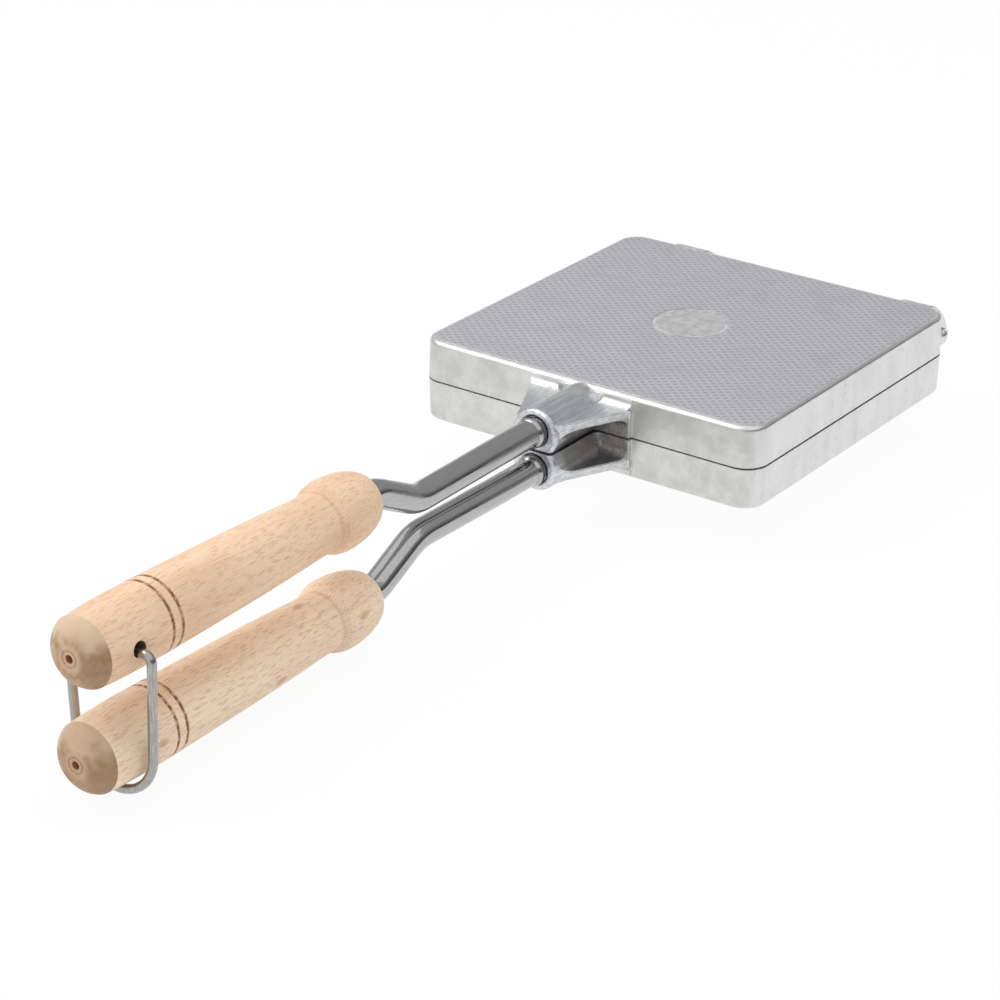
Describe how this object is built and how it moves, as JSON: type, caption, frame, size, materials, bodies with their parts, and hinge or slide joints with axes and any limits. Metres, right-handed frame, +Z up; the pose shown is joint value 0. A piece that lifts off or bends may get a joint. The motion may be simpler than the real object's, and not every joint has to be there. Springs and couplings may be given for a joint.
{
  "type": "stove-top sandwich press",
  "caption": "Hinged square sandwich press of cast plates on bent steel arms with turned wooden handles, closed by a swinging wire bail over the lower handle.",
  "frame": {"origin": "centre of the flat underside of the lower plate, with the press closed", "axes": "+Z up out of the top plate, +Y from the handles to the hinge, +X across the plates, to the right when seen from the handles"},
  "size_m": [0.15, 0.4356, 0.067],
  "materials": {
    "cast_plate": "satin cast, rims ground",
    "polished_tube": "polished",
    "steel_wire": "drawn",
    "beech": "raw, sanded"
  },
  "bodies": {
    "base": {"lower_plate": "cast_plate", "lower_arm": "polished_tube", "lower_arm_pin": "steel_wire", "lower_handle": "beech", "hinge_rivet_left": "steel_wire", "hinge_rivet_right": "steel_wire"},
    "lid": {"upper_plate": "cast_plate", "upper_arm": "polished_tube", "upper_arm_pin": "steel_wire", "upper_handle": "beech"},
    "bail": {"handle_bail": "steel_wire"}
  },
  "joints": [
    {"name": "lid_hinge", "type": "hinge", "parent": "base", "child": "lid", "pos_m": [0, 0.085, 0.0162], "axis": [-1, 0, 0], "range_deg": [0, 180]},
    {"name": "bail_swing", "type": "hinge", "parent": "lid", "child": "bail", "pos_m": [0, -0.3285, 0.03353], "axis": [-1, 0, 0], "range_deg": [0, 252.5]}
  ]
}
